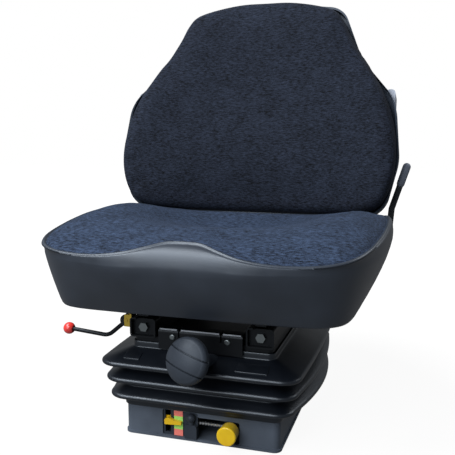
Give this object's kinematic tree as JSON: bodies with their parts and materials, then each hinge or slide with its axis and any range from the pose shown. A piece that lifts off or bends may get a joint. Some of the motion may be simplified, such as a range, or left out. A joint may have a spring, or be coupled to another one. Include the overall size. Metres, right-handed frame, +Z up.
{
  "type": "operator seat",
  "caption": "Cushioned machine seat on slide rails over a scissor suspension inside a rubber bellows, with a reclining backrest, levers and adjuster knobs.",
  "frame": {"origin": "middle of the base's underside, between its four mounting holes", "axes": "+Z up, the sitter faces -Y, +X to the left hand of the sitter, which is the viewer's right"},
  "size_m": [0.5456, 0.5455, 0.7137],
  "materials": {
    "base_paint": "satin black paint",
    "black_paint": "black paint",
    "steel": "bright steel",
    "zinc": "yellow zinc plate",
    "bellows_rubber": "moulded black rubber",
    "stop_rubber": "black rubber",
    "acetal": "plain white plastic",
    "black_plastic": "grained black plastic",
    "grey_plastic": "light grey plastic",
    "grip_plastic": "mid grey plastic",
    "yellow_plastic": "glossy yellow plastic",
    "red_plastic": "glossy red plastic",
    "scale_print": "printed strip, green between red ends",
    "cushion_cover": "dark blue-grey woven fabric with a black vinyl border",
    "back_cover": "dark blue-grey woven fabric"
  },
  "bodies": {
    "base": {"base_pan": "base_paint", "lower_pivot_brackets": "steel", "lower_pivot_pins": "steel", "lower_tracks": "steel", "damper_body": "black_paint", "damper_clamp": "black_paint", "bump_stops": "stop_rubber", "indicator_housing": "black_plastic", "indicator_scale": "scale_print", "height_knob_bearing": "steel", "detent_spring": "steel", "bellows": "bellows_rubber"},
    "outer_arms": {"outer_scissor": "black_paint", "centre_pins": "steel", "upper_axle": "steel"},
    "inner_arms": {"inner_scissor": "black_paint", "lower_axle": "steel"},
    "lower_glide": {"lower_glide_blocks": "acetal", "damper_rod": "steel"},
    "upper_glide": {"upper_glide_blocks": "acetal"},
    "upper_frame": {"upper_frame": "black_paint", "front_panel": "black_paint", "panel_rivets": "black_paint", "upper_tracks": "steel", "upper_pivot_pins": "steel", "knob_sleeve": "black_plastic", "drive_coupling": "stop_rubber", "lower_rail_left": "black_paint", "lower_rail_right": "black_paint", "rail_end_stops": "black_plastic", "rail_end_bolts": "steel", "rail_bolts": "steel", "latch_bracket": "zinc", "suspension_springs": "steel"},
    "weight_knob": {"weight_knob": "black_plastic", "knob_shaft": "steel"},
    "spindle": {"spindle": "steel"},
    "spring_yoke": {"spring_yoke": "steel"},
    "slide_lever": {"slide_lever_rod": "black_paint", "slide_lever_ball": "red_plastic"},
    "seat_top": {"upper_rail_left": "black_paint", "upper_rail_right": "black_paint", "rail_glides": "acetal", "seat_pan": "black_paint", "seat_cushion": "cushion_cover", "seat_bracket_left": "black_paint", "seat_bracket_right": "black_paint", "hinge_pins": "steel"},
    "recline_lever": {"recline_lever_bar": "black_paint", "recline_lever_grip": "grip_plastic"},
    "backrest": {"backrest_pad": "back_cover", "back_shell": "black_plastic", "backrest_arm_left": "black_paint", "backrest_arm_right": "black_paint", "arm_bolts": "steel", "armrest_caps": "grey_plastic"},
    "ride_pointer": {"ride_pointer": "yellow_plastic"},
    "height_knob": {"height_knob": "yellow_plastic", "height_knob_shaft": "steel"}
  },
  "joints": [
    {"name": "suspension", "type": "hinge", "parent": "base", "child": "outer_arms", "pos_m": [0, 0.11, 0.022], "axis": [1, 0, 0], "range_deg": [0, 16.81], "stiffness_Nm_per_rad": 200, "springref_deg": -28.65, "deforming": ["bellows", "suspension_springs"]},
    {"name": "scissor_centre", "type": "hinge", "parent": "outer_arms", "child": "inner_arms", "pos_m": [0, 0.015, 0.081], "axis": [1, 0, 0], "range_deg": [-34.63, 1]},
    {"name": "frame_level", "type": "hinge", "parent": "inner_arms", "child": "upper_frame", "pos_m": [0, 0.11, 0.14], "axis": [1, 0, 0], "range_deg": [-1, 17.81]},
    {"name": "upper_glide_level", "type": "hinge", "parent": "outer_arms", "child": "upper_glide", "pos_m": [0, -0.08, 0.14], "axis": [1, 0, 0], "range_deg": [-17.81, 1]},
    {"name": "lower_glide_level", "type": "hinge", "parent": "inner_arms", "child": "lower_glide", "pos_m": [0, -0.08, 0.022], "axis": [1, 0, 0], "range_deg": [-1, 17.81]},
    {"name": "pointer_slide", "type": "slide", "parent": "base", "child": "ride_pointer", "axis": [0, 0, 1], "range_m": [-0.0141, 0.0002]},
    {"name": "height_turn", "type": "hinge", "parent": "base", "child": "height_knob", "pos_m": [0.049, -0.15, 0.027], "axis": [0, -1, 0], "range_deg": [-120, 120]},
    {"name": "weight_turn", "type": "hinge", "parent": "upper_frame", "child": "weight_knob", "pos_m": [0.001, -0.224, 0.156], "axis": [-0.2195, -0.9286, 0.299], "range_deg": [-720, 720]},
    {"name": "spindle_turn", "type": "hinge", "parent": "upper_frame", "child": "spindle", "pos_m": [0.02471, 0, 0.1237], "axis": [0, -1, 0], "range_deg": [-721, 721]},
    {"name": "yoke_draw", "type": "slide", "parent": "upper_frame", "child": "spring_yoke", "axis": [0, 1, 0], "range_m": [-0.0081, 0.0081], "deforming": ["suspension_springs"]},
    {"name": "fore_aft", "type": "slide", "parent": "upper_frame", "child": "seat_top", "axis": [0, 1, 0], "range_m": [-0.07, 0.07]},
    {"name": "slide_release", "type": "hinge", "parent": "upper_frame", "child": "slide_lever", "pos_m": [-0.1225, -0.13, 0.178], "axis": [0, 1, 0], "range_deg": [0, 14], "stiffness_Nm_per_rad": 2, "springref_deg": -17.19},
    {"name": "recline_release", "type": "hinge", "parent": "seat_top", "child": "recline_lever", "pos_m": [0, 0.2, 0.282], "axis": [1, 0, 0], "range_deg": [-18, 0], "stiffness_Nm_per_rad": 2, "springref_deg": 17.19},
    {"name": "recline", "type": "hinge", "parent": "seat_top", "child": "backrest", "pos_m": [0, 0.2, 0.282], "axis": [1, 0, 0], "range_deg": [-30, 0]}
  ],
  "couplings": [
    {"joint": "scissor_centre", "follows": "suspension", "ratio": -2},
    {"joint": "frame_level", "follows": "suspension", "ratio": 1},
    {"joint": "upper_glide_level", "follows": "suspension", "ratio": -1},
    {"joint": "lower_glide_level", "follows": "suspension", "ratio": 1},
    {"joint": "pointer_slide", "follows": "suspension", "m_per_rad": -0.047711},
    {"joint": "spindle_turn", "follows": "weight_turn", "ratio": 1},
    {"joint": "yoke_draw", "follows": "weight_turn", "m_per_rad": 0.00063662}
  ]
}
